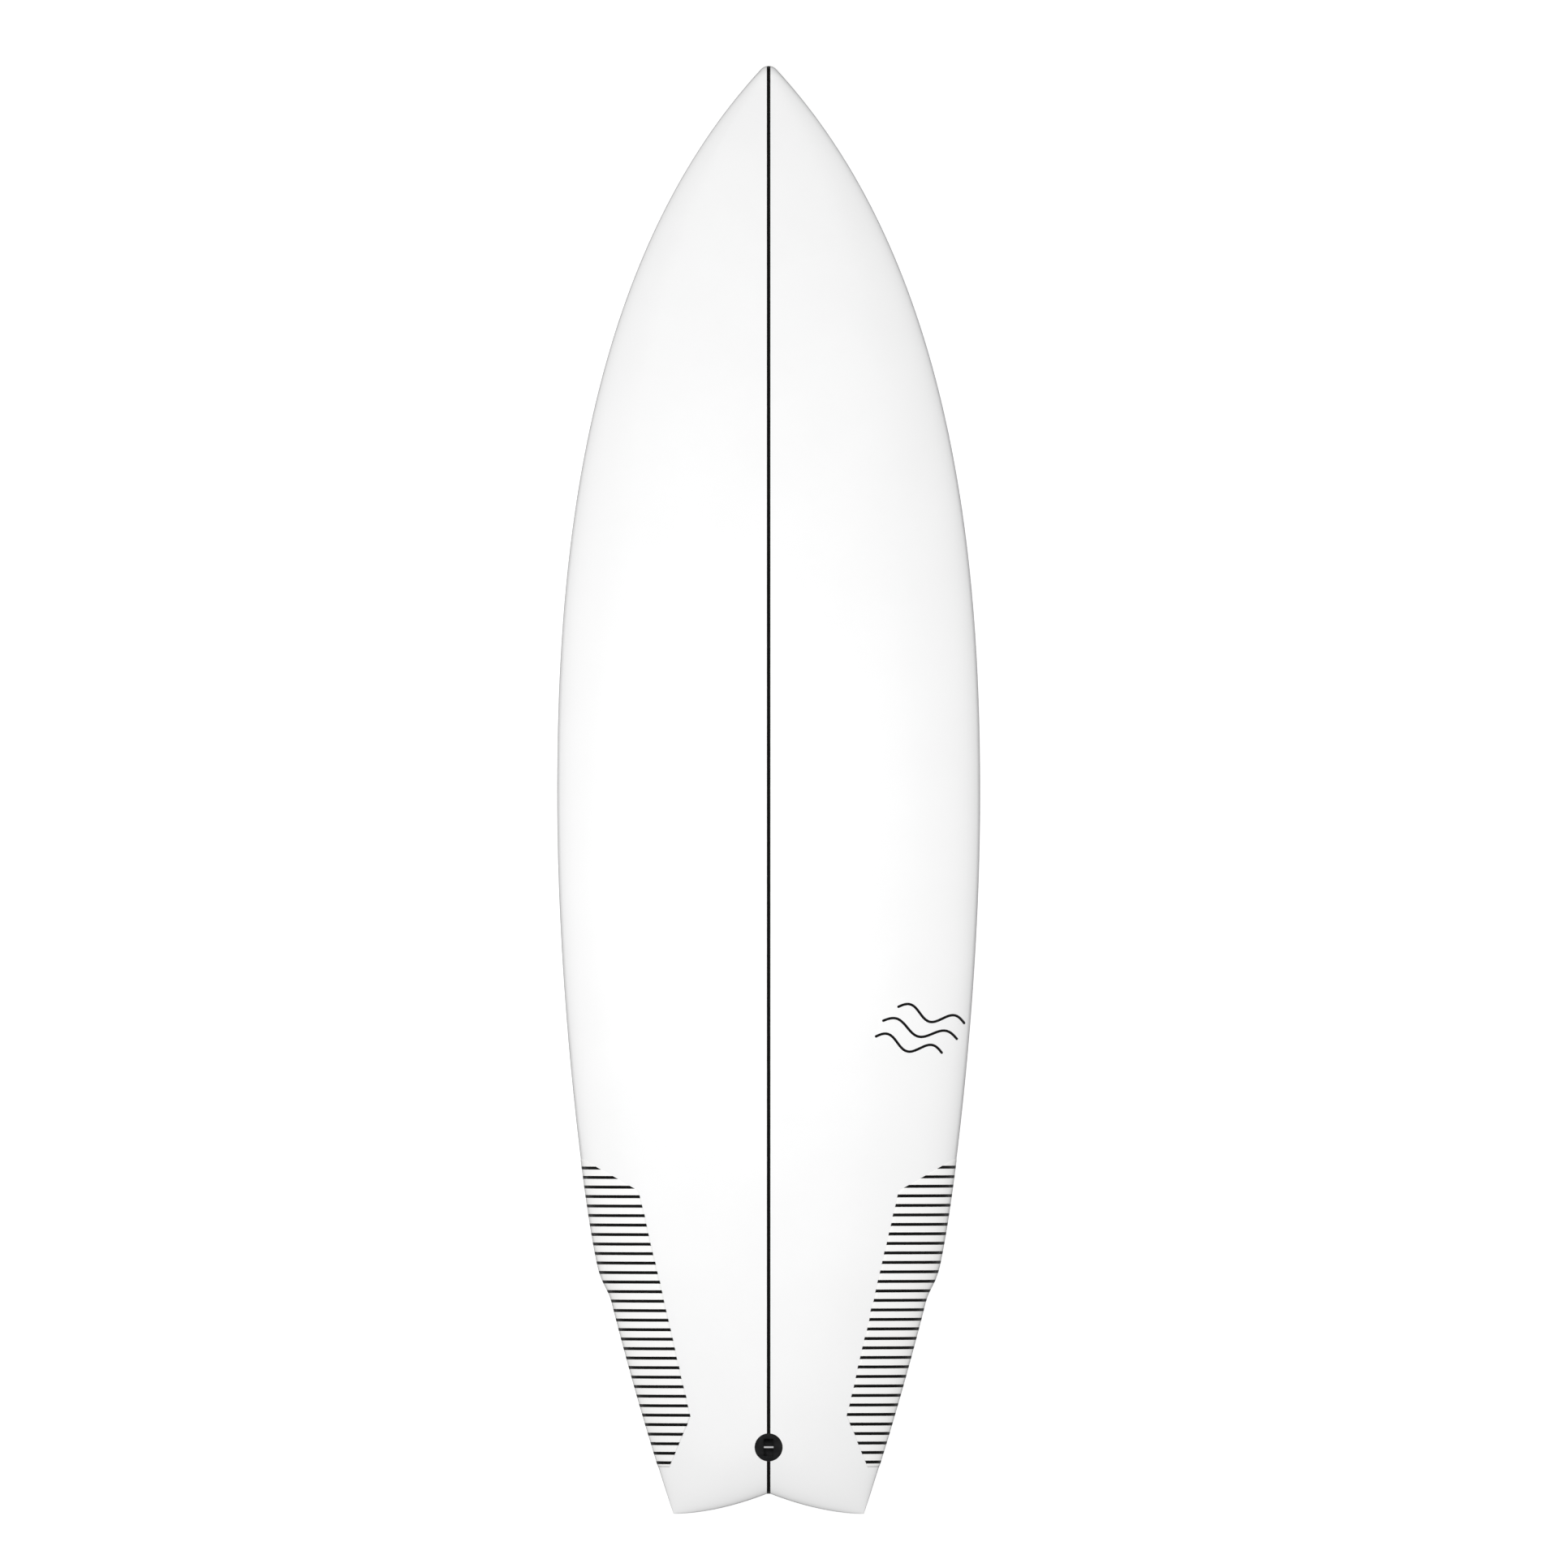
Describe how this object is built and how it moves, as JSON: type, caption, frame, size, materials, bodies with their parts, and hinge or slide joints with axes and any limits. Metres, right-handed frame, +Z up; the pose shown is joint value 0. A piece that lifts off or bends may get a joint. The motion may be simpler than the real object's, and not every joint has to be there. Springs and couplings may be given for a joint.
{
  "type": "shortboard surfboard",
  "caption": "Swallow-tail shortboard with winged rails, black stringer, striped tail patches, leash plug and three removable fins in flush boxes.",
  "frame": {"origin": "centre of the whole board's box in plan, on the surface that it lies on", "axes": "+Y along the board to the nose, +X to the right rail seen from above with the nose ahead, +Z up, deck up"},
  "size_m": [0.5208, 1.7746, 0.1827],
  "materials": {
    "foam": "closed-cell expanded polystyrene",
    "stringer": "black-stained, sanded",
    "laminate": "white glass and epoxy, polished gloss",
    "patch_cloth": "clear glass cloth patch over white, gloss",
    "carbon": "black carbon fibre tow under gloss resin",
    "plug_plastic": "moulded black nylon, fine texture",
    "steel": "stainless, ground",
    "insert_foam": "high-density polyurethane foam",
    "box_plastic": "moulded glass-filled nylon, sanded flush",
    "fin_composite": "black glass-fibre honeycomb composite, satin gloss"
  },
  "bodies": {
    "board": {"core_left": "foam", "core_right": "foam", "stringer": "stringer", "deck_skin": "laminate", "bottom_skin": "laminate", "rail_patch_left": "patch_cloth", "rail_patch_right": "patch_cloth", "carbon_tows_left": "carbon", "carbon_tows_right": "carbon", "leash_plug_cup": "plug_plastic", "leash_plug_bar": "steel", "leash_plug_block": "insert_foam", "fin_box_left": "box_plastic", "fin_box_right": "box_plastic", "fin_box_center": "box_plastic", "fin_block_left": "insert_foam", "fin_block_right": "insert_foam", "fin_block_center": "insert_foam"},
    "fin_left": {"fin_left": "fin_composite"},
    "fin_screw_left": {"fin_screw_left": "steel"},
    "fin_right": {"fin_right": "fin_composite"},
    "fin_screw_right": {"fin_screw_right": "steel"},
    "fin_center": {"fin_center": "fin_composite"},
    "fin_screw_center": {"fin_screw_center": "steel"}
  },
  "joints": [
    {"name": "fin_left_slide", "type": "slide", "parent": "board", "child": "fin_left", "axis": [-0.0035, -0.1795, -0.9838], "range_m": [0, 0.03]},
    {"name": "fin_screw_left_turn", "type": "hinge", "parent": "board", "child": "fin_screw_left", "pos_m": [-0.15891, -0.49781, 0.09707], "axis": [0.0345, 0.5678, -0.8225], "range_deg": [0, 1440]},
    {"name": "fin_right_slide", "type": "slide", "parent": "board", "child": "fin_right", "axis": [0.0035, -0.1795, -0.9838], "range_m": [0, 0.03]},
    {"name": "fin_screw_right_turn", "type": "hinge", "parent": "board", "child": "fin_screw_right", "pos_m": [0.15891, -0.49781, 0.09707], "axis": [-0.0345, 0.5678, -0.8225], "range_deg": [0, 1440]},
    {"name": "fin_center_slide", "type": "slide", "parent": "board", "child": "fin_center", "axis": [0, -0.2059, -0.9786], "range_m": [0, 0.03]},
    {"name": "fin_screw_center_turn", "type": "hinge", "parent": "board", "child": "fin_screw_center", "pos_m": [0, -0.65842, 0.12737], "axis": [0, 0.5463, -0.8376], "range_deg": [0, 1440]}
  ]
}
